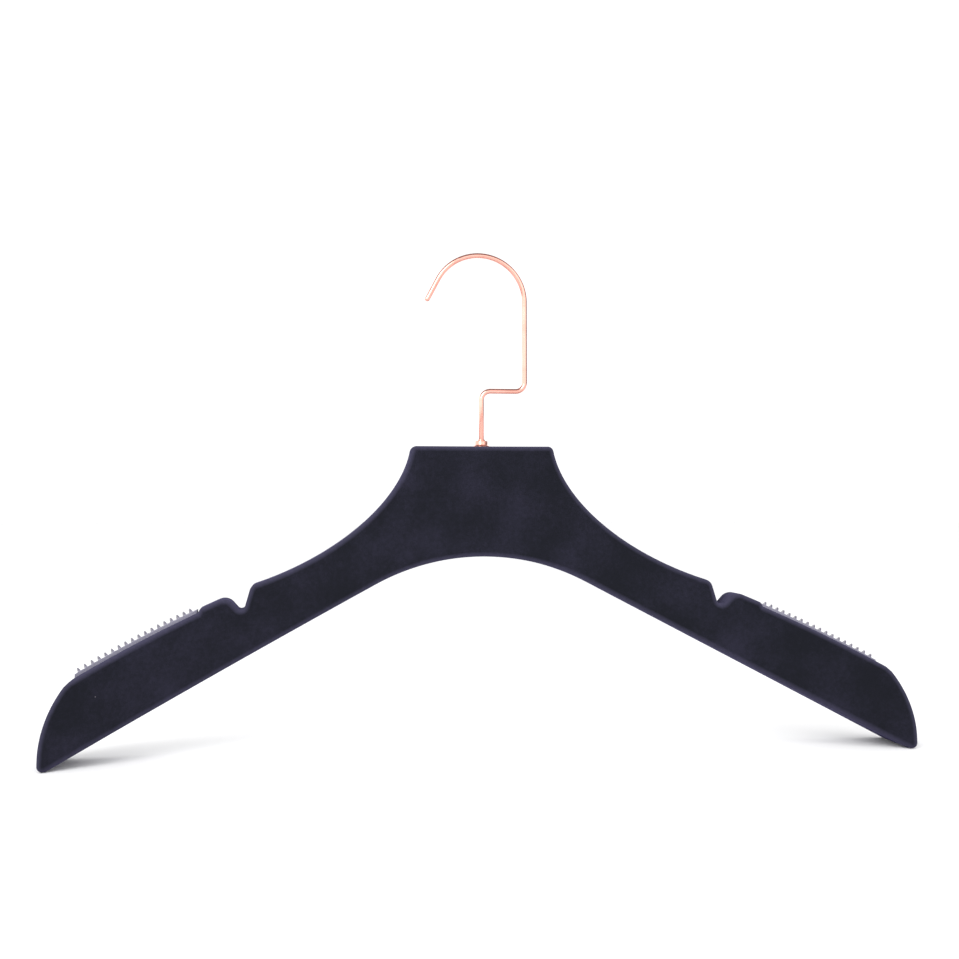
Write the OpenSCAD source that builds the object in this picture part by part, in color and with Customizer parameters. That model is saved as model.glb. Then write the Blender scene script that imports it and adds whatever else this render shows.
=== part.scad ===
// Contoured coat hanger. Two moulded half shells close over the foot of a swivel hook, and
// trap a ribbed rubber grip strip in each shoulder. Millimetres, +Z up, front towards -Y.
// The origin is the point under the hook's arc where the rail bears, on the swivel axis.
// Inside the modules heights are measured from the top of the neck.

/* [Body] */
// Width from tip to tip
hanger_w = 450; // [448:1:456]
// Width of the neck at its top
neck_w = 78; // [74:0.2:82]
// Front to back thickness of the neck
neck_t = 13; // [12.6:0.2:16]
// Slope of the straight undersides, in degrees
under_angle = 28; // [27.5:0.1:28.5]
// Height where the two undersides would cross, below the top of the neck
under_drop = 43.8; // [42.8:0.1:44.8]
// Crown of the arch under the neck, below the top of the neck
arch_drop = 60.4; // [58.5:0.1:62]
// Wall thickness of the half shells
wall = 2.2; // [1.8:0.1:2.4]
// Thickness of the inner ribs
rib_t = 1.6; // [1.2:0.1:2]

/* [Bow] */
// Radius of the hollow front, seen from above
front_r = 509; // [490:1:530]
// Radius of the parting surface between the half shells, seen from above
parting_r = 656; // [645:1:665]
// Radius of the middle of the back, seen from above
back_r = 602; // [585:1:620]
// Half width of the round middle of the back, beyond which the back is straight
back_round = 90; // [80:10:100]

/* [Shoulders] */
// Where the shoulder is measured, from the middle
shoulder_x = 178; // [177:0.5:179]
// Drop of the shoulder there, below the top of the neck
shoulder_drop = 98.8; // [98.2:0.1:99.6]
// Slope of the shoulder there, in degrees
shoulder_angle = 26.9; // [26.5:0.1:27.5]
// Radius of the shoulder's gentle crown, seen from the front
shoulder_r = 680; // [600:10:760]
// Radius of the rounded end of the arm
end_r = 63; // [62:0.1:64]
// Height of that radius's centre, below the top of the neck
end_drop = 157.3; // [156:0.1:158]
// Radius of the bottom corner of the arm
tip_corner = 3; // [3:0.5:5]

/* [Strap notch] */
// Inner edge of the notch, from the middle and below the top of the neck
notch_in = [124.3, 74];
// Bottom of the notch
notch_low = [128.5, 88.7];
// Outer edge of the notch, from the middle
notch_out_x = 136.5; // [135.5:0.1:137.5]

/* [Grip strip] */
// Inner end of the strip, from the middle
grip_in_x = 151.8; // [151:0.1:152.5]
// Outer end of the strip, from the middle
grip_out_x = 210.2; // [208:0.1:210.4]
// Width of the strip, front to back
grip_w = 8; // [7.6:0.1:9]
// How far the strip's base stands above the land it lies on
grip_rise = 1.6; // [1.4:0.1:1.8]
// Depth of the pocket that the base lies in
pocket_d = 1.2; // [1:0.1:1.3]
// Number of cross ribs on a strip
fin_count = 18; // [12:1:18]
// Height of a cross rib
fin_h = 2; // [1.4:0.1:2.4]
// Thickness of a cross rib at its foot
fin_t = 1.6; // [1.2:0.1:2]

/* [Hook] */
// Diameter of the hook wire
wire_d = 2.8; // [2.6:0.1:3.2]
// Radius of the hook's arc, to the middle of the wire
hook_r = 25.6; // [24:0.1:27]
// Distance of the leg from the swivel axis
leg_x = 24.2; // [23:0.1:25]
// Height of the centre of the arc above the neck
hook_rise = 80.1; // [76:0.1:84]
// Height of the cranked step in the stem above the neck
step_rise = 30.7; // [28:0.1:34]
// Radius of the two bends of the step, to the middle of the wire
bend_r = 5; // [4:0.5:7]
// How far the arc runs on past its top, in degrees
arc_past_top = 62; // [50:1:70]
// Length of the straight tip
tip_len = 12.4; // [6:0.1:14]

/* [Swivel] */
// Radial running clearance of the wire in its collar and bush
run_gap = 0.06; // [0.03:0.01:0.1]
// Radius of the collar's flange
collar_r = 4.5; // [4.4:0.1:5]
// Radius of the bearing bush
bush_r = 4; // [3.8:0.1:4.1]
// Depth of the thrust washer's underside, below the top of the neck
washer_depth = 20.2; // [20:0.1:22]
// Radius of the end stop pressed onto the wire
stop_r = 3.9; // [3.5:0.1:4]

/* [Hidden] */

flock_black = [0.11, 0.11, 0.14];
rose_gold = [0.86, 0.62, 0.55];
rubber_grey = [0.30, 0.29, 0.32];
nylon_white = [0.88, 0.87, 0.84];

half_w = hanger_w / 2;
wire_r = wire_d / 2;
arc_x = leg_x - hook_r;
// The rail bears on the inside of the arc, straight above the stem
neck_z = -hook_rise - sqrt(pow(hook_r - wire_r, 2) - arc_x * arc_x);
under_slope = tan(under_angle);
arch_r = (arch_drop - under_drop) / (1 / cos(under_angle) - 1);
shoulder_c = [shoulder_x, -shoulder_drop]
             - shoulder_r * [sin(shoulder_angle), cos(shoulder_angle)];
end_c = [half_w - end_r, -end_drop];
land_r = shoulder_r - grip_rise;
back_slope = back_round / sqrt(back_r * back_r - back_round * back_round);
rib_xs = [20, 44, 72, 98, 118, 146, 168, 190, 212];
pin_spots = [[58, -54], [108, -85], [157, -113], [201, -133]];
// Slopes and lengths of the handles that draw the flank, at the neck and at the notch
flank_angles = [83, 17.5];
flank_pulls = [26.9, 51];
neck_corner = 3;
notch_lead_r = 5;
notch_r = 2.2;
peak_r = 6.2;
pin_r = 2;
pin_len = 4;
collar_shank_r = 3.1;
collar_shank = 8;
dome_r = 7.4;
dome_h = 1.6;
barrel_r = 3.45;
barrel_h = 3;
lip_r = wire_r + 0.6;
lip_h = 3.9;
stop_gap = 0.1;
stop_len = 5.9;
foot_past_stop = 0.8;
chamber_past_stop = 2.4;
washer_t = 1.2;
washer_r = 4.4;
grip_gap = 0.05;
chamber_r = 4.6;
neck_block = [24, 34];
boss_wall = 1.8;
socket_past_pin = 0.4;
// The hook's straight tip is drawn down by this much, and starts this far inside the arc
tip_draw = 0.06;
tip_bury = 0.5;
deep = 200;

// ---- plane geometry ----

function unit(v) = v / norm(v);
function turn(a) = a > 180 ? a - 360 : a < -180 ? a + 360 : a;
function arc(c, r, a0, a1, n) =
    [for (i = [0:n]) let (a = a0 + (a1 - a0) * i / n) c + r * [cos(a), sin(a)]];
function bearing(p, c) = atan2(p[1] - c[1], p[0] - c[0]);
// Arc of radius r that rounds the corner b between a and c
function fillet(a, b, c, r, n = 6) =
    let (u = unit(a - b), v = unit(c - b), h = acos(u * v) / 2,
         m = b + unit(u + v) * r / sin(h),
         a0 = bearing(b + u * r / tan(h), m), a1 = bearing(b + v * r / tan(h), m))
    arc(m, r, a0, a0 + turn(a1 - a0), n);
function bezier(p, t) =
    pow(1 - t, 3) * p[0] + 3 * pow(1 - t, 2) * t * p[1]
    + 3 * (1 - t) * t * t * p[2] + pow(t, 3) * p[3];
// Crossing of two circles, on the outer side
function circles_meet(c1, r1, c2, r2) =
    let (d = norm(c2 - c1), e = (c2 - c1) / d, a = (r1 * r1 - r2 * r2 + d * d) / (2 * d))
    c1 + a * e + sqrt(r1 * r1 - a * a) * [-e[1], e[0]];
// Outline moved inwards by w, with its walls kept parallel; points run clockwise
function inset(p, w) =
    let (n = len(p))
    [for (i = [0:n - 1])
        let (u = unit(p[i] - p[(i + n - 1) % n]), v = unit(p[(i + 1) % n] - p[i]),
             nu = [u[1], -u[0]], nv = [v[1], -v[0]])
        p[i] + w * (nu + nv) / (1 + nu * nv)];

// ---- front outline, right half, clockwise from the top of the neck ----

function on_circle(c, r, x) = [x, c[1] + sqrt(r * r - pow(x - c[0], 2))];
function on_shoulder(x) = on_circle(shoulder_c, shoulder_r, x);
function on_land(x) = on_circle(shoulder_c, land_r, x);
function on_under(x) = [x, -under_drop - under_slope * x];

neck_p = [neck_w / 2, 0];
notch_p = [notch_in[0], -notch_in[1]];
notch_v = [notch_low[0], -notch_low[1]];
peak_p = on_shoulder(notch_out_x);
flank = [neck_p, neck_p + flank_pulls[0] * [cos(flank_angles[0]), -sin(flank_angles[0])],
         notch_p - flank_pulls[1] * [cos(flank_angles[1]), -sin(flank_angles[1])], notch_p];
flank_n = 14;
end_p = circles_meet(end_c, end_r, shoulder_c, land_r);
end_a0 = bearing(end_p, end_c);
tip_p = on_under(half_w);
arch_a = 90 - under_angle;

right_half = concat(
    fillet([0, 0], neck_p, flank[1], neck_corner),
    [for (i = [1:flank_n - 1]) bezier(flank, i / flank_n)],
    fillet(bezier(flank, 1 - 1 / flank_n), notch_p, notch_v, notch_lead_r),
    fillet(notch_p, notch_v, peak_p, notch_r, 6),
    fillet(notch_v, peak_p, on_shoulder(notch_out_x + 8), peak_r, 8),
    [for (x = [grip_in_x - 8, grip_in_x - 2]) on_shoulder(x)],
    [for (i = [0:5]) on_land(grip_in_x - 0.7 + (end_p[0] - grip_in_x - 2) * i / 5)],
    arc(end_c, end_r, end_a0 - 2, 3.5, 10),
    fillet([half_w, tip_p[1] + 10], tip_p, on_under(half_w - 20), tip_corner),
    arc([0, -arch_drop - arch_r], arch_r, arch_a, 90, 8)
);
outline = concat(right_half,
    [for (i = [len(right_half) - 2:-1:0]) [-right_half[i][0], right_half[i][1]]]);

// ---- plan of the bow: distances towards the back, from the swivel axis ----

function sag(r, x) = r - sqrt(r * r - x * x);
function back_y(x) =
    let (a = min(abs(x), back_round))
    neck_t / 2 - sag(back_r, a) - back_slope * (abs(x) - a);
function parting_y(x) = -sag(parting_r, x);
function front_y(x) = -neck_t / 2 - sag(front_r, x);

module front_disc(grow) {
    translate([0, -neck_t / 2 - front_r]) circle(r = front_r + grow, $fn = 720);
}
module parting_disc() { translate([0, -parting_r]) circle(r = parting_r, $fn = 720); }
module back_area(inward) {
    xs = concat([-half_w - 5], [for (x = [-back_round:10:back_round]) x], [half_w + 5]);
    polygon(concat([for (x = xs) [x, back_y(x) - inward]],
                   [[half_w + 5, -deep], [-half_w - 5, -deep]]));
}
module front_plan(skin) {
    difference() { parting_disc(); front_disc(skin); }
}
module rear_plan(skin) {
    difference() { back_area(skin); parting_disc(); }
}

// ---- helpers in space ----

module at_neck() { translate([0, 0, neck_z]) children(); }
// Draws an x-z outline right through the hanger, front to back
module through() {
    translate([0, deep / 2, 0]) rotate([90, 0, 0])
        linear_extrude(height = deep * 1.5) children();
}
module standing() {
    translate([0, 0, -deep]) linear_extrude(height = deep + 20) children();
}
module both_sides() {
    children();
    mirror([1, 0, 0]) children();
}
module disc(r, z0, z1) { translate([0, 0, z0]) cylinder(r = r, h = z1 - z0, $fn = 64); }
// Cylinder along Y at [x, z] from y0 to y1
module peg(spot, r, y0, y1) {
    translate([spot[0], y1, spot[1]]) rotate([90, 0, 0])
        cylinder(r = r, h = y1 - y0, $fn = 48);
}

// ---- parts of the half shells ----

// Hollow of the shells seen from the front: the inset outline less the neck block and ribs
module hollow_2d() {
    difference() {
        polygon(inset(outline, wall));
        translate([-neck_block[0] / 2, -neck_block[1]]) square(neck_block);
        for (x = rib_xs, s = [-1, 1])
            translate([s * x - rib_t / 2, -deep]) square([rib_t, deep]);
    }
}
// Room for the hook's foot and its bearing
module bearing_space() {
    disc(collar_shank_r, -collar_shank, 1);
    disc(bush_r, -washer_depth, -collar_shank);
    disc(washer_r, -washer_depth, -washer_depth + washer_t);
    disc(chamber_r, -washer_depth - stop_len - chamber_past_stop, -washer_depth);
}

module front_shell() {
    color(flock_black) at_neck() difference() {
        union() {
            difference() {
                intersection() {
                    through() polygon(outline);
                    standing() front_plan(0);
                }
                intersection() {
                    through() hollow_2d();
                    standing() front_plan(wall);
                }
            }
            both_sides() for (p = pin_spots) {
                intersection() {
                    peg(p, pin_r + boss_wall, front_y(p[0]) + wall / 2, 20);
                    standing() front_plan(1);
                }
                peg(p, pin_r, parting_y(p[0]) - 3, parting_y(p[0]) + pin_len);
            }
        }
        both_sides() grip_body(grip_gap);
        bearing_space();
    }
}

module rear_shell() {
    color(flock_black) at_neck() difference() {
        union() {
            difference() {
                intersection() {
                    through() polygon(outline);
                    standing() rear_plan(0);
                }
                intersection() {
                    through() hollow_2d();
                    standing() rear_plan(wall);
                }
            }
            both_sides() for (p = pin_spots) intersection() {
                peg(p, pin_r + boss_wall, parting_y(p[0]) - 3, back_y(p[0]) - wall / 2);
                standing() rear_plan(1);
            }
        }
        both_sides() for (p = pin_spots)
            peg(p, pin_r + 0.05, parting_y(p[0]) - 4, parting_y(p[0]) + pin_len + socket_past_pin);
        both_sides() grip_body(grip_gap);
        bearing_space();
    }
}

// ---- hook ----

module wire(h) { cylinder(r = wire_r, h = h, $fn = 48); }
module bend(r, a) {
    rotate_extrude(angle = a, $fn = 96) translate([r, 0]) circle(r = wire_r, $fn = 48);
}
// Straight tip with its rounded end, rising from the end of the arc
module hook_tip() {
    r = wire_r - tip_draw;
    translate([0, 0, -tip_bury]) cylinder(r = r, h = tip_bury + tip_len, $fn = 48);
    translate([0, 0, tip_len]) sphere(r = r, $fn = 48);
}

module hook_wire() {
    foot = -washer_depth - stop_gap - stop_len - foot_past_stop;
    stem_top = step_rise - bend_r;
    leg_foot = step_rise + bend_r;
    color(rose_gold) at_neck() {
        translate([0, 0, foot]) wire(stem_top - foot);
        // First bend, from the stem out to the side
        translate([bend_r, 0, stem_top]) rotate([90, 0, 0]) rotate([0, 0, 90]) bend(bend_r, 90);
        translate([bend_r, 0, step_rise]) rotate([0, 90, 0]) wire(leg_x - 2 * bend_r);
        // Second bend, from the step up into the leg
        translate([leg_x - bend_r, 0, leg_foot])
            rotate([90, 0, 0]) rotate([0, 0, -90]) bend(bend_r, 90);
        translate([leg_x, 0, leg_foot]) wire(hook_rise - leg_foot);
        // Arc over the rail
        translate([arc_x, 0, hook_rise]) rotate([90, 0, 0]) {
            bend(hook_r, 90 + arc_past_top);
            rotate([0, 0, 90 + arc_past_top]) translate([hook_r, 0, 0]) rotate([-90, 0, 0])
                hook_tip();
        }
    }
}

module hook_collar() {
    color(rose_gold) at_neck() rotate_extrude($fn = 96) difference() {
        union() {
            translate([0, -collar_shank]) square([collar_shank_r, collar_shank + barrel_h]);
            // Domed flange
            intersection() {
                translate([0, dome_h - dome_r]) circle(r = dome_r, $fn = 96);
                square([collar_r, dome_h]);
            }
            square([barrel_r, barrel_h]);
            // Lip round the wire
            square([lip_r, lip_h]);
        }
        translate([-1, -collar_shank - 1])
            square([1 + wire_r + run_gap, collar_shank + lip_h + 2]);
    }
}

module bearing_bush() {
    color(nylon_white) at_neck() difference() {
        disc(bush_r, -washer_depth + washer_t, -collar_shank);
        disc(wire_r + run_gap, -deep, 1);
    }
}

module thrust_washer() {
    color(rose_gold) at_neck() difference() {
        disc(washer_r, -washer_depth, -washer_depth + washer_t);
        disc(wire_r + 0.2, -deep, 1);
    }
}

module end_stop() {
    color(rose_gold) at_neck() difference() {
        disc(stop_r, -washer_depth - stop_gap - stop_len, -washer_depth - stop_gap);
        disc(wire_r, -deep, 1);
    }
}

// ---- grip strips, drawn on the right side ----

// Curved bar along the shoulder: x from x0 to x1, between depths d0 and d1 below the
// shoulder line, w wide and following the parting surface
module shoulder_bar(x0, x1, d0, d1, w) {
    n = 8;
    intersection() {
        through() polygon(concat(
            [for (i = [0:n]) on_circle(shoulder_c, shoulder_r - d0, x0 + (x1 - x0) * i / n)],
            [for (i = [n:-1:0]) on_circle(shoulder_c, shoulder_r - d1, x0 + (x1 - x0) * i / n)]));
        standing() translate([0, -parting_r]) difference() {
            circle(r = parting_r + w / 2, $fn = 720);
            circle(r = parting_r - w / 2, $fn = 720);
        }
    }
}
// Base, web and rail of a strip, all grown by gap
module grip_body(gap) {
    base_d = grip_rise + pocket_d;
    rail_d = grip_rise + wall;
    shoulder_bar(grip_in_x - gap, grip_out_x + gap, -gap, base_d, grip_w + 2 * gap);
    shoulder_bar(grip_in_x + 4 - gap, grip_out_x - 4 + gap, base_d - 0.5, rail_d + 1,
                 4 + 2 * gap);
    shoulder_bar(grip_in_x + 4 - gap, grip_out_x - 4 + gap, rail_d, rail_d + 1.6 + gap,
                 7 + 2 * gap);
}
// One cross rib, a wedge with a round crown, standing square to the shoulder at x
module fin(x) {
    foot = on_shoulder(x);
    lean = bearing(foot, shoulder_c) - 90;
    crown_r = 3.7;
    translate([x, parting_y(x), foot[1]]) rotate([0, 0, -atan(x / parting_r)])
        rotate([0, -lean, 0]) intersection() {
            translate([0, grip_w / 2, 0]) rotate([90, 0, 0]) linear_extrude(height = grip_w)
                polygon([[-fin_t / 2, -0.4], [fin_t / 2, -0.4], [0.25, fin_h], [-0.25, fin_h]]);
            translate([-fin_t, 0, fin_h - crown_r]) rotate([0, 90, 0])
                cylinder(r = crown_r, h = 2 * fin_t, $fn = 64);
        }
}
module grip_strip() {
    first = grip_in_x + 3.2;
    pitch = (grip_out_x - 1.6 - first) / (fin_count - 1);
    grip_body(0);
    for (i = [0:fin_count - 1]) fin(first + i * pitch);
}
module right_grip_strip() { color(rubber_grey) at_neck() grip_strip(); }
module left_grip_strip() { color(rubber_grey) at_neck() mirror([1, 0, 0]) grip_strip(); }

front_shell();
rear_shell();
hook_wire();
hook_collar();
bearing_bush();
thrust_washer();
end_stop();
left_grip_strip();
right_grip_strip();
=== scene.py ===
"""A flocked coat hanger with a rose-gold swivel hook, laid out as an add-on and run as a script."""

from math import acos, atan2, cos, pi, radians, sin, sqrt, tan

import bmesh
import bpy
from bpy.props import FloatProperty, FloatVectorProperty, IntProperty, PointerProperty
from mathutils import Matrix, Vector
from mathutils.geometry import intersect_sphere_sphere_2d


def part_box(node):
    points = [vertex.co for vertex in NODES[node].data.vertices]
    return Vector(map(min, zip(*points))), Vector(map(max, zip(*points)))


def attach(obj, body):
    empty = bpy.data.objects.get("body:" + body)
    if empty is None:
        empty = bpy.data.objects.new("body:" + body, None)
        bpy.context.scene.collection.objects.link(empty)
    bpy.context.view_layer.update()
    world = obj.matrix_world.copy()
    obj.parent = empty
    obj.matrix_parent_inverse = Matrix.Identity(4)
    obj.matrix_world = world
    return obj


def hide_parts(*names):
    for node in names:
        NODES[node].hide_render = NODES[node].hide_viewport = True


bl_info = {
    "name": "Coat Hanger",
    "version": (1, 0, 0),
    "blender": (4, 5, 0),
    "location": "View3D > Sidebar > Coat Hanger",
    "description": "Builds a flocked coat hanger with a swivel hook",
    "category": "Add Mesh",
}

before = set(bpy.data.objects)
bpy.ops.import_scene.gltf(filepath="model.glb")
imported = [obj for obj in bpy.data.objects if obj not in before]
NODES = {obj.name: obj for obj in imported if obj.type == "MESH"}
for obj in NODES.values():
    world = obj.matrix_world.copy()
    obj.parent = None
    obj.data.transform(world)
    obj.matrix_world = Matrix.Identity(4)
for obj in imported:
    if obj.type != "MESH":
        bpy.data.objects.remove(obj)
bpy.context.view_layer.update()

BODY_LOW, BODY_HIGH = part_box("front_shell")
HOOK_LOW, HOOK_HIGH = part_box("hook_wire")
COLLAR_LOW, COLLAR_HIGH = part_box("hook_collar")
NECK_TOP = BODY_HIGH.z
HALF_WIDTH = BODY_HIGH.x
NECK_HALF_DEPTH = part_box("rear_shell")[1].y
WIRE_RADIUS = HOOK_HIGH.y
LEG_X = HOOK_HIGH.x - WIRE_RADIUS
ARC_TOP = HOOK_HIGH.z - WIRE_RADIUS


# ---- sizes and colours that a user may change ----


def length(name, description, default):
    return FloatProperty(name=name, description=description, default=default, min=0.0, unit="LENGTH", precision=4)


def angle(name, description, degrees):
    return FloatProperty(name=name, description=description, default=radians(degrees), subtype="ANGLE")


def strength(name, description, default, **options):
    return FloatProperty(name=name, description=description, default=default, min=0.0, **options)


def colour(name, description, default):
    return FloatVectorProperty(
        name=name, description=description, default=default, size=3, min=0.0, max=1.0, subtype="COLOR"
    )


class BodySizes(bpy.types.PropertyGroup):
    """Front outline of the body, measured from the middle and down from the top of the neck."""

    neck_width: length("Neck width", "Width of the neck at its top", 0.078)
    neck_corner: length("Neck corner", "Radius of the neck's top corners", 0.003)
    flank_angle: angle("Flank angle", "Slope of the flank where it leaves the neck", 83.0)
    flank_pull: length("Flank pull", "Length of the flank's handle at the neck", 0.0269)
    notch_inner_x: length("Notch inner edge", "Inner edge of the strap notch, from the middle", 0.1243)
    notch_inner_drop: length("Notch inner drop", "Drop of the notch's inner edge", 0.074)
    notch_low_x: length("Notch bottom", "Bottom of the strap notch, from the middle", 0.1285)
    notch_low_drop: length("Notch bottom drop", "Drop of the notch's bottom", 0.0887)
    notch_outer_x: length("Notch outer edge", "Outer edge of the strap notch, from the middle", 0.1365)
    notch_lead: length("Notch lead-in", "Radius at the notch's inner edge", 0.005)
    notch_corner: length("Notch corner", "Radius at the bottom of the notch", 0.0022)
    peak_corner: length("Peak corner", "Radius at the notch's outer edge", 0.0062)
    notch_angle: angle("Notch approach", "Slope of the flank where it reaches the notch", 17.5)
    notch_pull: length("Notch pull", "Length of the flank's handle at the notch", 0.051)
    shoulder_x: length("Shoulder station", "Where the shoulder is measured, from the middle", 0.178)
    shoulder_drop: length("Shoulder drop", "Drop of the shoulder there", 0.0988)
    shoulder_angle: angle("Shoulder slope", "Slope of the shoulder there", 26.9)
    shoulder_radius: length("Shoulder radius", "Radius of the shoulder's gentle crown", 0.68)
    land_drop: length("Land drop", "Step down to the land that carries the grip strip", 0.0016)
    grip_inner_x: length("Grip start", "Inner end of the grip strip, from the middle", 0.1518)
    end_radius: length("End radius", "Radius of the rounded end of the arm", 0.063)
    end_drop: length("End drop", "Drop of that radius's centre", 0.1573)
    tip_corner: length("Tip corner", "Radius of the arm's bottom corner", 0.003)
    under_angle: angle("Underside slope", "Slope of the straight underside", 28.0)
    under_drop: length("Underside drop", "Drop of the point where both undersides would cross", 0.0438)
    arch_drop: length("Arch drop", "Drop of the arch under the neck", 0.0604)
    front_radius: length("Front bow", "Radius of the hollow front, seen from above", 0.509)
    parting_radius: length("Parting bow", "Radius of the line where the shells meet", 0.656)
    back_radius: length("Back bow", "Radius of the middle of the back", 0.602)
    back_round: length("Round back", "Half width of the round middle of the back", 0.09)
    edge_radius: length("Edge radius", "Radius of the soft edges of both shells", 0.0028)


class HookSizes(bpy.types.PropertyGroup):
    """Middle line of the hook, measured up from the top of the neck."""

    arc_radius: length("Arc radius", "Radius of the hook's arc", 0.0256)
    step_rise: length("Step rise", "Height of the cranked step", 0.0307)
    bend_radius: length("Bend radius", "Radius of the two bends of the step", 0.005)
    past_top: angle("Past the top", "How far the arc runs on past its top", 62.0)
    tip_length: length("Tip length", "Length of the straight tip", 0.0124)
    barrel_radius: length("Barrel radius", "Radius of the collar's barrel", 0.00345)
    barrel_rise: length("Barrel rise", "Height of the barrel", 0.003)
    dome_rise: length("Dome rise", "Height of the flange's dome where it meets the barrel", 0.0009)
    sides: IntProperty(name="Sides", description="Sides of the round wire", default=40, min=12, max=96)


class FinishColours(bpy.types.PropertyGroup):
    """Colours of the finishes."""

    flock: colour("Flock", "Flock lying flat", (0.0105, 0.0110, 0.0150))
    # Raised flock lies in random nap patches. The rim colour is a painted sheen: it makes the soft edges lighter and
    # bluer, where velvet catches the light at grazing angles.
    flock_raised: colour("Raised flock", "Flock brushed up, as on the edges", (0.026, 0.0245, 0.042))
    flock_painted_rim_sheen: colour("Flock rim", "Flock standing up on the soft edges", (0.050, 0.047, 0.080))
    flock_sheen: colour("Flock sheen", "Tint of the flock's sheen", (0.48, 0.44, 0.90))
    lint: colour("Lint", "Specks of lint caught in the flock", (0.16, 0.15, 0.17))
    rose_gold: colour("Rose gold", "Plating of the wire", (0.80, 0.40, 0.33))
    rose_gold_deep: colour("Deep rose gold", "Plating where it lies thicker", (0.62, 0.24, 0.18))
    # Painted light on the grip strips: the base colour is lighter than the dark rubber, as a painted sheen, and the
    # rib colour is darker, as painted shade on the backlit ribs.
    rubber: colour("Rubber", "Base of the grip strips", (0.25, 0.24, 0.31))
    rubber_ribs_painted_shade: colour("Ribs", "Ribs of the grip strips", (0.13, 0.12, 0.16))
    steel: colour("Steel", "Plain steel inside", (0.55, 0.54, 0.53))
    nylon: colour("Nylon", "Natural nylon inside", (0.78, 0.76, 0.70))


WHITE = (1.0, 1.0, 1.0, 1.0)
# Spans of the direction's height and side over which the reflected room turns dark.
CEILING_SPAN = (0.30, 0.72)
WALL_SPAN = (0.35, 0.75)


class StudioSettings(bpy.types.PropertyGroup):
    """Floor, light and camera."""

    floor: colour("Floor", "Colour of the floor", (0.90, 0.90, 0.905))
    floor_radius: length("Floor radius", "Radius of the floor", 9.0)
    sky: strength("Sky", "Strength of the even light", 1.13)
    gloss_bright: strength("Bright reflections", "Bright walls that gloss reflects", 2.2)
    gloss_dark: strength("Dark reflections", "Dark ceiling and right wall that gloss reflects", 0.38)
    key: strength("Key", "Key light", 14.0, unit="POWER")
    fill: strength("Fill", "Fill light", 5.0, unit="POWER")
    camera_side: FloatProperty(name="Camera side", description="Place across", default=-0.0968, unit="LENGTH")
    camera_back: FloatProperty(name="Camera distance", description="Place along Y", default=-0.71, unit="LENGTH")
    camera_drop: length("Camera drop", "Camera's place below the top of the neck", 0.0316)
    camera_turn: angle("Camera turn", "Turn of the camera to the right", 7.68)
    camera_tilt: angle("Camera tilt", "Tilt of the camera upwards", 1.08)
    camera_roll: angle("Camera roll", "Roll of the picture", 0.08)
    lens: FloatProperty(name="Lens", description="Focal length in millimetres", default=48.8, min=10.0)


# ---- shader maths ----


class Signal:
    """A socket of a material that takes part in arithmetic."""

    def __init__(self, finish, socket):
        self.finish = finish
        self.socket = socket

    def __add__(self, other):
        return self.finish.math("ADD", self, other)

    def __sub__(self, other):
        return self.finish.math("SUBTRACT", self, other)

    def __rsub__(self, other):
        return self.finish.math("SUBTRACT", other, self)

    def __mul__(self, other):
        return self.finish.math("MULTIPLY", self, other)

    def __truediv__(self, other):
        return self.finish.math("DIVIDE", self, other)

    __radd__ = __add__
    __rmul__ = __mul__


class ShaderTree:
    """A node tree under construction."""

    def __init__(self, tree):
        self.tree = tree
        self.tree.nodes.clear()

    def node(self, kind, settings=None, inputs=None, output=0):
        node = self.tree.nodes.new(kind)
        for key, value in (settings or {}).items():
            setattr(node, key, value)
        for key, value in (inputs or {}).items():
            if isinstance(value, Signal):
                self.tree.links.new(value.socket, node.inputs[key])
            else:
                node.inputs[key].default_value = value
        return Signal(self, node.outputs[output])

    def math(self, operation, *values):
        return self.node("ShaderNodeMath", {"operation": operation}, dict(enumerate(values)))

    def step(self, value, low, high):
        """0 below low, 1 above high and smooth between them."""
        settings = {"interpolation_type": "SMOOTHSTEP"}
        return self.node("ShaderNodeMapRange", settings, {0: value, 1: low, 2: high})

    def parts(self, place):
        """The three coordinates of a place."""
        node = self.tree.nodes.new("ShaderNodeSeparateXYZ")
        self.tree.links.new(place.socket, node.inputs[0])
        return [Signal(self, socket) for socket in node.outputs]


class Finish(ShaderTree):
    """A material under construction."""

    def __init__(self, name):
        self.material = bpy.data.materials.new(name)
        self.material.use_nodes = True
        super().__init__(self.material.node_tree)
        self.here = self.node("ShaderNodeTexCoord", output="Object")

    def mix(self, factor, first, second):
        inputs = {0: factor, 6: rgba(first), 7: rgba(second)}
        return self.node("ShaderNodeMix", {"data_type": "RGBA"}, inputs, output=2)

    def noise(self, size, detail=2.0, roughness=0.5, place=None):
        """Noise whose grain is about size metres across."""
        inputs = {"Vector": place or self.here, "Scale": 1.0 / size, "Detail": detail, "Roughness": roughness}
        return self.node("ShaderNodeTexNoise", inputs=inputs)

    def specks(self, spacing, size):
        """Sparse round specks: 1 on a speck and 0 elsewhere."""
        inputs = {"Vector": self.here, "Scale": 1.0 / spacing}
        away = self.node("ShaderNodeTexVoronoi", inputs=inputs, output="Distance")
        return 1.0 - self.step(away, size / spacing * 0.6, size / spacing)

    def stretched(self, scale):
        return self.node("ShaderNodeMapping", inputs={"Vector": self.here, "Scale": scale})

    def bump(self, height, distance, strength=1.0):
        return self.node("ShaderNodeBump", inputs={"Height": height, "Distance": distance, "Strength": strength})

    def done(self, **inputs):
        inputs = {key.replace("_", " "): value for key, value in inputs.items()}
        surface = self.node("ShaderNodeBsdfPrincipled", inputs=inputs)
        output = self.tree.nodes.new("ShaderNodeOutputMaterial")
        self.tree.links.new(surface.socket, output.inputs["Surface"])
        return self.material


def rgba(value):
    return value if isinstance(value, Signal) else (*value, 1.0)


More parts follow.
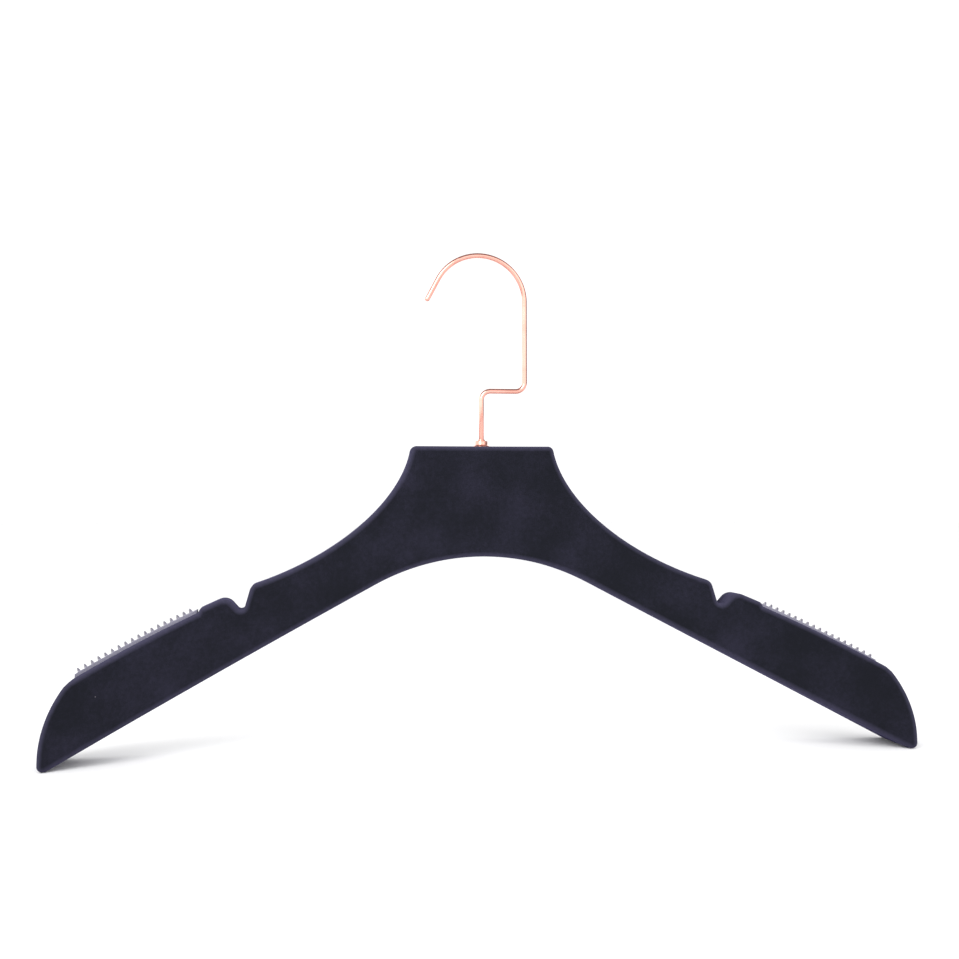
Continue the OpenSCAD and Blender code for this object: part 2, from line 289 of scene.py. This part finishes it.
def flock_finish(colours):
    """Short black fibres stood up over plastic: nap patches, fine fibre grain, a few specks of lint, and a painted
    sheen that makes the soft edges lighter and bluer.
    """
    f = Finish("black_flock")
    nap = f.noise(0.030, 3.0, 0.55)
    fibre = f.noise(0.00045, 2.0, 0.6)
    tuft = f.noise(0.0022, 2.0, 0.5)
    rim = f.node("ShaderNodeAttribute", {"attribute_name": "rim"}, output="Fac")
    raised = f.step(nap * 0.6 + tuft * 0.25 + fibre * 0.35, 0.45, 0.85) * 0.6
    # Painted sheen on the soft edges and side walls, led by the rim attribute.
    edge = f.math("MINIMUM", rim * (0.75 + tuft * 0.5), 1.0)
    black = f.mix(edge, f.mix(raised, colours.flock, colours.flock_raised), colours.flock_painted_rim_sheen)
    lint = f.specks(0.019, 0.00030) * f.step(f.noise(0.05, 1.0), 0.48, 0.56)
    return f.done(
        Base_Color=f.mix(lint, black, colours.lint),
        Roughness=0.97 - fibre * 0.1,
        Specular_IOR_Level=0.0,
        Sheen_Weight=0.10,
        Sheen_Roughness=0.30,
        Sheen_Tint=rgba(colours.flock_sheen),
        Normal=f.bump(fibre * 0.7 + tuft * 0.5, 0.00012, 0.8),
    )


def plated_finish(colours, name, roughness):
    """Polished plating with faint drawing marks along the wire."""
    f = Finish(name)
    cloud = f.noise(0.012, 3.0)
    drawn = f.noise(0.0006, 2.0, 0.6, f.stretched((1.0, 1.0, 0.08)))
    return f.done(
        Base_Color=f.mix(f.step(cloud, 0.35, 0.75) * 0.5, colours.rose_gold, colours.rose_gold_deep),
        Metallic=1.0,
        Roughness=roughness + drawn * 0.06 + cloud * 0.04,
        Normal=f.bump(drawn, 0.000008),
    )


def rubber_finish(colours):
    """Soft moulded rubber with painted light: a painted sheen makes the base pale, and painted shade darkens each rib
    that stands above the shoulder.
    """
    f = Finish("soft_rubber")
    body = bpy.context.scene.hanger_body
    crown = shoulder_centre(body)
    across, _, up = f.parts(f.here)
    across = f.math("ABSOLUTE", across) - crown.x
    up = up - (NECK_TOP + crown.y)
    height = f.math("SQRT", across * across + up * up) - body.shoulder_radius
    dust_and_shade = f.noise(0.004, 4.0, 0.6)
    grain = f.noise(0.00035, 2.0)
    # Painted shade on each rib that stands above the shoulder, varied by noise; the same noise varies the roughness
    # as dust.
    rib_shade = f.step(height, -0.0002, 0.0009) * (0.80 + dust_and_shade * 0.4)
    return f.done(
        Base_Color=f.mix(f.math("MINIMUM", rib_shade, 1.0), colours.rubber, colours.rubber_ribs_painted_shade),
        Roughness=0.36 + dust_and_shade * 0.25,
        Sheen_Weight=0.15,
        Sheen_Roughness=0.5,
        Normal=f.bump(grain, 0.00003),
    )


def steel_finish(colours):
    f = Finish("turned_steel")
    turned = f.noise(0.0004, 2.0, 0.5, f.stretched((0.1, 0.1, 1.0)))
    return f.done(
        Base_Color=f.mix(turned, colours.steel, [0.8 * part for part in colours.steel]),
        Metallic=1.0,
        Roughness=0.28 + turned * 0.15,
        Normal=f.bump(turned, 0.00001),
    )


def nylon_finish(colours):
    f = Finish("natural_nylon")
    cloud = f.noise(0.003, 3.0)
    return f.done(
        Base_Color=f.mix(cloud * 0.4, colours.nylon, [0.85 * part for part in colours.nylon]),
        Roughness=0.42 + cloud * 0.12,
        Subsurface_Weight=0.1,
        Normal=f.bump(f.noise(0.0005), 0.00002),
    )


FINISHES = {}


def kept(make, *how):
    """A finish, made on first use. The CAD nodes bring plain materials of their own, so names aren't looked up."""
    key = (make.__name__, how)
    if key not in FINISHES:
        FINISHES[key] = make(bpy.context.scene.hanger_colours, *how)
    return FINISHES[key]


# ---- outline of the body, as points (x, height above the top of the neck) ----


def heading(point, centre):
    return atan2(point.y - centre.y, point.x - centre.x)


def along_arc(centre, radius, start, end, steps):
    turns = [start + (end - start) * i / steps for i in range(steps + 1)]
    return [centre + radius * Vector((cos(turn), sin(turn))) for turn in turns]


def rounded(before, corner, after, radius, steps):
    """Arc that rounds off a corner."""
    u = (before - corner).normalized()
    v = (after - corner).normalized()
    half = acos(u.dot(v)) / 2
    centre = corner + (u + v).normalized() * radius / sin(half)
    start = heading(corner + u * radius / tan(half), centre)
    sweep = (heading(corner + v * radius / tan(half), centre) - start + pi) % (2 * pi) - pi
    return along_arc(centre, radius, start, start + sweep, steps)


def flank_point(ends, t):
    a, b, c, d = ends
    return (1 - t) ** 3 * a + 3 * (1 - t) ** 2 * t * b + 3 * (1 - t) * t * t * c + t**3 * d


def shoulder_centre(s):
    """Centre of the shoulder's crown."""
    return Vector((s.shoulder_x, -s.shoulder_drop)) - s.shoulder_radius * Vector(
        (sin(s.shoulder_angle), cos(s.shoulder_angle))
    )


def half_outline(s):
    """Right half of the front outline, from the top of the neck round to the crown of the arch."""
    neck = Vector((s.neck_width / 2, 0.0))
    notch_top = Vector((s.notch_inner_x, -s.notch_inner_drop))
    notch_low = Vector((s.notch_low_x, -s.notch_low_drop))
    flank = [
        neck,
        neck + s.flank_pull * Vector((cos(s.flank_angle), -sin(s.flank_angle))),
        notch_top - s.notch_pull * Vector((cos(s.notch_angle), -sin(s.notch_angle))),
        notch_top,
    ]
    crown = shoulder_centre(s)

    def shoulder(x, drop=0.0):
        return Vector((x, crown.y + sqrt((s.shoulder_radius - drop) ** 2 - (x - crown.x) ** 2)))

    def underside(x):
        return Vector((x, -s.under_drop - tan(s.under_angle) * x))

    end = Vector((HALF_WIDTH - s.end_radius, -s.end_drop))
    meets = intersect_sphere_sphere_2d(end, s.end_radius, crown, s.shoulder_radius - s.land_drop)
    turn_in = max(meets, key=lambda point: point.x)
    tip = underside(HALF_WIDTH)
    arch = (s.arch_drop - s.under_drop) / (1 / cos(s.under_angle) - 1)
    flank_steps = 36
    land_steps = 14
    land_start = s.grip_inner_x - 0.0007
    land_run = turn_in.x - 0.0013 - land_start
    points = rounded(Vector((0, 0)), neck, flank[1], s.neck_corner, 6)
    points += [flank_point(flank, i / flank_steps) for i in range(1, flank_steps - 1)]
    points += rounded(points[-1], notch_top, notch_low, s.notch_lead, 8)
    peak = shoulder(s.notch_outer_x)
    points += rounded(notch_top, notch_low, peak, s.notch_corner, 8)
    points += rounded(notch_low, peak, shoulder(s.notch_outer_x + 0.008), s.peak_corner, 10)
    points += [shoulder(s.grip_inner_x - back) for back in (0.008, 0.005, 0.002)]
    points += [shoulder(land_start + land_run * i / land_steps, s.land_drop) for i in range(land_steps + 1)]
    points += along_arc(end, s.end_radius, heading(turn_in, end) - radians(2), radians(3.5), 26)
    points += rounded(Vector((HALF_WIDTH, tip.y + 0.01)), tip, underside(HALF_WIDTH - 0.02), s.tip_corner, 6)
    points += along_arc(Vector((0, -s.arch_drop - arch)), arch, pi / 2 - s.under_angle, pi / 2, 20)
    return points


def outline(s):
    right = half_outline(s)
    return right + [Vector((-p.x, p.y)) for p in reversed(right[:-1])]


# ---- bow of the body, seen from above ----


def sag(radius, x):
    return radius - sqrt(radius * radius - x * x)


def front_face(s, x):
    return -NECK_HALF_DEPTH - sag(s.front_radius, x)


def back_face(s, x):
    near = min(abs(x), s.back_round)
    slope = s.back_round / sqrt(s.back_radius**2 - s.back_round**2)
    return NECK_HALF_DEPTH - sag(s.back_radius, near) - slope * (abs(x) - near)


# ---- making and finishing pieces ----


def close_up(bm, gap=1e-7):
    bmesh.ops.remove_doubles(bm, verts=bm.verts, dist=gap)
    bmesh.ops.recalc_face_normals(bm, faces=bm.faces)


def to_object(bm, name, material=None, sharp=35.0):
    mesh = bpy.data.meshes.new(name)
    bm.to_mesh(mesh)
    bm.free()
    piece = bpy.data.objects.new(name, mesh)
    bpy.context.scene.collection.objects.link(piece)
    if material:
        mesh.materials.append(material)
    shade(mesh, sharp)
    return piece


def shade(mesh, sharp):
    mesh.shade_smooth()
    mesh.set_sharp_from_angle(angle=radians(sharp))


def baked(piece):
    """Applies the piece's modifiers to its mesh."""
    bpy.context.view_layer.update()
    evaluated = piece.evaluated_get(bpy.context.evaluated_depsgraph_get())
    mesh = bpy.data.meshes.new_from_object(evaluated)
    piece.modifiers.clear()
    old = piece.data
    piece.data = mesh
    bpy.data.meshes.remove(old)


def carve(piece, cutters):
    """Takes the cutters' shapes out of the piece."""
    for cutter in cutters:
        cut = piece.modifiers.new("carve", "BOOLEAN")
        cut.operation = "DIFFERENCE"
        cut.solver = "EXACT"
        cut.object = cutter
    baked(piece)


def discard(objects):
    for thing in objects:
        bpy.data.objects.remove(thing, do_unlink=True)


def lathe(bm, profile, steps=64):
    """Turns a closed profile of (radius, height) about the swivel axis."""
    verts = [bm.verts.new((r, 0.0, z)) for r, z in profile]
    edges = [bm.edges.new((a, b)) for a, b in zip(verts, verts[1:] + verts[:1])]
    bmesh.ops.spin(
        bm, geom=verts + edges, cent=(0, 0, 0), axis=(0, 0, 1), angle=2 * pi, steps=steps, use_merge=True
    )
    close_up(bm)


def new_shell(s, name, side):
    """One half shell with soft outer edges: side is -1 for the front one and 1 for the rear one."""
    bm = bmesh.new()
    slab = 0.01
    face = bm.faces.new([bm.verts.new((p.x, 0.0, NECK_TOP + p.y)) for p in outline(s)])
    rim_edges = list(face.edges)
    grown = bmesh.ops.extrude_face_region(bm, geom=[face], use_keep_orig=True)
    inner = [part for part in grown["geom"] if isinstance(part, bmesh.types.BMVert)]
    bmesh.ops.translate(bm, verts=inner, vec=(0.0, -side * slab, 0.0))
    bmesh.ops.recalc_face_normals(bm, faces=bm.faces)
    bmesh.ops.bevel(
        bm,
        geom=rim_edges,
        affect="EDGES",
        offset=s.edge_radius,
        offset_type="OFFSET",
        segments=6,
        profile=0.5,
        clamp_overlap=False,
        material=-1,
    )
    cuts = 90
    for i in range(1, cuts):
        x = HALF_WIDTH * (2 * i / cuts - 1)
        everything = bm.verts[:] + bm.edges[:] + bm.faces[:]
        bmesh.ops.bisect_plane(bm, geom=everything, dist=2e-5, plane_co=(x, 0, 0), plane_no=(1, 0, 0))
    # rim runs from 0 on the outer face, across the soft edge, to 1 on the side walls; the flock paints its edge sheen
    # by it.
    rim = bm.verts.layers.float.new("rim")
    outer_face = front_face if side < 0 else back_face
    for vert in bm.verts:
        depth = abs(vert.co.y)
        vert[rim] = sqrt(1 - (1 - min(depth / s.edge_radius, 1.0)) ** 2)
        if depth > slab / 2:
            vert.co.y = -sag(s.parting_radius, vert.co.x)
        else:
            vert.co.y += outer_face(s, vert.co.x)
    bmesh.ops.recalc_face_normals(bm, faces=bm.faces)
    return to_object(bm, name)


def strip_cutter(node):
    """A closed copy of a grip strip, to carve its pocket with."""
    bm = bmesh.new()
    bm.from_mesh(NODES[node].data)
    close_up(bm, 1e-6)
    return to_object(bm, "cutter")


def bearing_cutter():
    """Room for the collar, the bush and the foot of the hook."""
    bush_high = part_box("bearing_bush")[1]
    washer_low, washer_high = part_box("thrust_washer")
    stop_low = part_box("end_stop")[0]
    shank = 0.0031
    bm = bmesh.new()
    lathe(
        bm,
        [
            (0.0, NECK_TOP + 0.001),
            (shank, NECK_TOP + 0.001),
            (shank, bush_high.z),
            (bush_high.x, bush_high.z),
            (bush_high.x, washer_high.z),
            (washer_high.x, washer_high.z),
            (washer_high.x, washer_low.z),
            (0.0046, washer_low.z),
            (0.0046, stop_low.z - 0.0024),
            (0.0, stop_low.z - 0.0024),
        ],
    )
    return to_object(bm, "cutter")


def run_wire(bm, ring, moves):
    """Carries a ring of the wire along its moves. The last ring is left open."""
    for kind, *how in moves:
        if kind == "straight":
            grown = bmesh.ops.extrude_edge_only(bm, edges=ring)["geom"]
            verts = [part for part in grown if isinstance(part, bmesh.types.BMVert)]
            bmesh.ops.translate(bm, verts=verts, vec=how[0])
        else:
            centre, turn, steps = how
            grown = bmesh.ops.spin(bm, geom=ring, cent=centre, axis=(0, 1, 0), angle=turn, steps=steps)["geom_last"]
            verts = [part for part in grown if isinstance(part, bmesh.types.BMVert)]
        inside = set(verts)
        ring = [edge for edge in {e for v in verts for e in v.link_edges} if set(edge.verts) <= inside]
    return ring, verts


def new_wire(s):
    bm = bmesh.new()
    r = WIRE_RADIUS
    foot = HOOK_LOW.z
    step = NECK_TOP + s.step_rise
    arc_centre = Vector((LEG_X - s.arc_radius, 0.0, ARC_TOP - s.arc_radius))
    bend = s.bend_radius
    bmesh.ops.create_circle(bm, cap_ends=True, segments=s.sides, radius=r - 0.0002)
    bmesh.ops.translate(bm, verts=bm.verts, vec=(0, 0, foot))
    first = bm.edges[:]
    wide = bmesh.ops.extrude_edge_only(bm, edges=first)["geom"]
    verts = [part for part in wide if isinstance(part, bmesh.types.BMVert)]
    bmesh.ops.scale(bm, verts=verts, vec=(r / (r - 0.0002), r / (r - 0.0002), 1.0))
    bmesh.ops.translate(bm, verts=verts, vec=(0, 0, 0.0002))
    ring = [part for part in wide if isinstance(part, bmesh.types.BMEdge) and set(part.verts) <= set(verts)]
    past = pi / 2 + s.past_top
    ring, verts = run_wire(
        bm,
        ring,
        [
            ("straight", (0, 0, step - bend - foot - 0.0002)),
            ("bend", (bend, 0, step - bend), pi / 2, 12),
            ("straight", (LEG_X - 2 * bend, 0, 0)),
            ("bend", (LEG_X - bend, 0, step + bend), -pi / 2, 12),
            ("straight", (0, 0, arc_centre.z - step - bend)),
            ("bend", arc_centre, -past, 60),
        ],
    )
    ahead = Vector((-sin(past), 0.0, cos(past)))
    ring, verts = run_wire(bm, ring, [("straight", ahead * s.tip_length)])
    middle = arc_centre + s.arc_radius * Vector((cos(past), 0.0, sin(past))) + ahead * s.tip_length
    caps = 8
    for i in range(1, caps + 1):
        a, b = pi / 2 * (i - 1) / caps, pi / 2 * i / caps
        push = ahead * r * (sin(b) - sin(a))
        if i == caps:
            verts_end = run_wire(bm, ring, [("straight", push)])[1]
            bmesh.ops.pointmerge(bm, verts=verts_end, merge_co=middle + ahead * r)
        else:
            ring, verts = run_wire(bm, ring, [("straight", push)])
            centre = middle + ahead * r * sin(b)
            shrink = cos(b) / cos(a)
            bmesh.ops.scale(bm, verts=verts, vec=(shrink,) * 3, space=Matrix.Translation(-centre))
    bmesh.ops.recalc_face_normals(bm, faces=bm.faces)
    return bm


# ---- operators ----


class HANGER_OT_shells(bpy.types.Operator):
    """Front and rear half shells with soft edges, carved for the grip strips and the hook"""

    bl_idname = "hanger.shells"
    bl_label = "Half Shells"

    def execute(self, context):
        scene = context.scene
        flock = kept(flock_finish)
        cutters = [strip_cutter("left_grip_strip"), strip_cutter("right_grip_strip"), bearing_cutter()]
        for side, part in ((-1, "front"), (1, "rear")):
            piece = new_shell(scene.hanger_body, f"{part}_half", side)
            carve(piece, cutters)
            piece.data.materials.clear()
            piece.data.materials.append(flock)
            shade(piece.data, 35.0)
            soften = piece.modifiers.new("even shading", "WEIGHTED_NORMAL")
            soften.keep_sharp = True
            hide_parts(f"{part}_shell")
            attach(piece, "hanger")
        discard(cutters)
        return {"FINISHED"}


class HANGER_OT_hook(bpy.types.Operator):
    """Bent wire hook with its cranked stem and rounded tip"""

    bl_idname = "hanger.hook"
    bl_label = "Hook"

    def execute(self, context):
        plating = kept(plated_finish, "rose_gold_wire", 0.10)
        piece = to_object(new_wire(context.scene.hanger_hook), "bent_wire", plating, 50.0)
        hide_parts("hook_wire")
        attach(piece, "hook")
        return {"FINISHED"}


class HANGER_OT_collar(bpy.types.Operator):
    """Turned collar with a domed flange, a barrel and a lip round the wire"""

    bl_idname = "hanger.collar"
    bl_label = "Collar"

    def execute(self, context):
        s = context.scene.hanger_hook
        flange = COLLAR_HIGH.x
        bore = WIRE_RADIUS + 0.00006
        shank = 0.0031
        lip = WIRE_RADIUS + 0.0006
        top = COLLAR_HIGH.z
        barrel_top = NECK_TOP + s.barrel_rise
        bm = bmesh.new()
        lathe(
            bm,
            [
                (bore, COLLAR_LOW.z),
                (shank, COLLAR_LOW.z),
                (shank, NECK_TOP),
                (flange, NECK_TOP),
                (flange, NECK_TOP + 0.00025),
                (flange - 0.0004, NECK_TOP + 0.00055),
                (s.barrel_radius, NECK_TOP + s.dome_rise),
                (s.barrel_radius, barrel_top),
                (lip, barrel_top + 0.0002),
                (lip, top),
                (bore, top),
            ],
            72,
        )
        sharp = [e for e in bm.edges if e.is_manifold and e.calc_face_angle() > radians(30)]
        bmesh.ops.bevel(
            bm, geom=sharp, affect="EDGES", offset=0.00014, offset_type="OFFSET", segments=3, profile=0.5, material=-1
        )
        bmesh.ops.recalc_face_normals(bm, faces=bm.faces)
        plating = kept(plated_finish, "rose_gold_collar", 0.16)
        piece = to_object(bm, "turned_collar", plating, 40.0)
        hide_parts("hook_collar")
        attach(piece, "hanger")
        return {"FINISHED"}


class HANGER_OT_grip_strips(bpy.types.Operator):
    """Rubber finish on the two ribbed grip strips"""

    bl_idname = "hanger.grip_strips"
    bl_label = "Grip Strips"

    def execute(self, context):
        rubber = kept(rubber_finish)
        for node in ("left_grip_strip", "right_grip_strip"):
            NODES[node].data.materials.clear()
            NODES[node].data.materials.append(rubber)
        return {"FINISHED"}


class HANGER_OT_bearing(bpy.types.Operator):
    """Finishes of the bush, washer and end stop inside the neck"""

    bl_idname = "hanger.bearing"
    bl_label = "Bearing Parts"

    def execute(self, context):
        steel = kept(steel_finish)
        nylon = kept(nylon_finish)
        for node, material in (("bearing_bush", nylon), ("thrust_washer", steel), ("end_stop", steel)):
            NODES[node].data.materials.clear()
            NODES[node].data.materials.append(material)
        return {"FINISHED"}


class HANGER_OT_stage(bpy.types.Operator):
    """Pale floor, soft studio light and camera"""

    bl_idname = "hanger.stage"
    bl_label = "Studio"

    def execute(self, context):
        s = context.scene.hanger_studio
        self.floor(s)
        self.light(context.scene, s)
        self.camera(context.scene, s)
        return {"FINISHED"}

    def floor(self, s):
        f = Finish("studio_floor")
        cloud = f.noise(0.4, 2.0)
        white = f.mix(cloud * 0.3, s.floor, [0.98 * part for part in s.floor])
        material = f.done(Base_Color=white, Roughness=0.85, Specular_IOR_Level=0.1)
        bm = bmesh.new()
        bmesh.ops.create_circle(bm, cap_ends=True, segments=96, radius=s.floor_radius)
        bmesh.ops.translate(bm, verts=bm.verts, vec=(0, 0, BODY_LOW.z - 0.0001))
        to_object(bm, "floor", material)

    def light(self, scene, s):
        scene.world = self.sky(s)
        scene.view_settings.view_transform = "Standard"
        self.lamp("key", s.key, 0.9, (-0.7, -1.1, 0.7))
        self.lamp("fill", s.fill, 1.2, (1.0, -0.9, 0.4))

    def sky(self, s):
        """Even white light. Gloss reflects a room with pale walls, a dark ceiling and a dark right wall."""
        world = bpy.data.worlds.new("studio")
        world.use_nodes = True
        w = ShaderTree(world.node_tree)
        side, _, up = w.parts(w.node("ShaderNodeTexCoord", output="Generated"))
        dark = w.math("MAXIMUM", w.step(up, *CEILING_SPAN), w.step(side, *WALL_SPAN))
        seen = s.gloss_bright - dark * (s.gloss_bright - s.gloss_dark)
        even = w.node("ShaderNodeBackground", inputs={"Color": WHITE, "Strength": s.sky})
        walls = w.node("ShaderNodeBackground", inputs={"Color": WHITE, "Strength": seen})
        glossy = w.node("ShaderNodeLightPath", output="Is Glossy Ray")
        both = w.node("ShaderNodeMixShader", inputs={0: glossy, 1: even, 2: walls})
        output = w.tree.nodes.new("ShaderNodeOutputWorld")
        w.tree.links.new(both.socket, output.inputs["Surface"])
        return world

    def lamp(self, name, power, size, place):
        data = bpy.data.lights.new(name, "AREA")
        data.energy = power
        data.size = size
        lamp = bpy.data.objects.new(name, data)
        lamp.location = place
        aim = Vector((0, 0, NECK_TOP)) - lamp.location
        lamp.rotation_euler = aim.to_track_quat("-Z", "Y").to_euler()
        bpy.context.scene.collection.objects.link(lamp)

    def camera(self, scene, s):
        data = bpy.data.cameras.new("camera")
        data.lens = s.lens
        data.sensor_width = 36.0
        camera = bpy.data.objects.new("camera", data)
        camera.location = (s.camera_side, s.camera_back, NECK_TOP - s.camera_drop)
        turn = Matrix.Rotation(-s.camera_turn, 3, "Z") @ Matrix.Rotation(pi / 2 + s.camera_tilt, 3, "X")
        camera.rotation_euler = (turn @ Matrix.Rotation(-s.camera_roll, 3, "Z")).to_euler()
        scene.collection.objects.link(camera)
        scene.camera = camera


# ---- panel and registration ----

SETTINGS = (
    ("hanger_body", BodySizes),
    ("hanger_hook", HookSizes),
    ("hanger_colours", FinishColours),
    ("hanger_studio", StudioSettings),
)
OPERATORS = (
    HANGER_OT_shells,
    HANGER_OT_hook,
    HANGER_OT_collar,
    HANGER_OT_grip_strips,
    HANGER_OT_bearing,
    HANGER_OT_stage,
)


class HANGER_PT_sidebar(bpy.types.Panel):
    """Builds the coat hanger piece by piece"""

    bl_idname = "HANGER_PT_sidebar"
    bl_label = "Coat Hanger"
    bl_space_type = "VIEW_3D"
    bl_region_type = "UI"
    bl_category = "Coat Hanger"

    def draw(self, context):
        for operator in OPERATORS:
            self.layout.operator(operator.bl_idname)
        for name, group in SETTINGS:
            box = self.layout.box()
            box.label(text=group.__doc__.split(",")[0].rstrip("."))
            for prop in group.__annotations__:
                box.prop(getattr(context.scene, name), prop)


def register():
    for _, group in SETTINGS:
        bpy.utils.register_class(group)
    for cls in (*OPERATORS, HANGER_PT_sidebar):
        bpy.utils.register_class(cls)
    for name, group in SETTINGS:
        setattr(bpy.types.Scene, name, PointerProperty(type=group))


def unregister():
    for name, _ in SETTINGS:
        delattr(bpy.types.Scene, name)
    for cls in (HANGER_PT_sidebar, *reversed(OPERATORS)):
        bpy.utils.unregister_class(cls)
    for _, group in SETTINGS:
        bpy.utils.unregister_class(group)


def main():
    register()
    bpy.ops.hanger.stage()
    bpy.ops.hanger.shells()
    bpy.ops.hanger.hook()
    bpy.ops.hanger.collar()
    bpy.ops.hanger.grip_strips()
    bpy.ops.hanger.bearing()


if __name__ == "__main__":
    main()
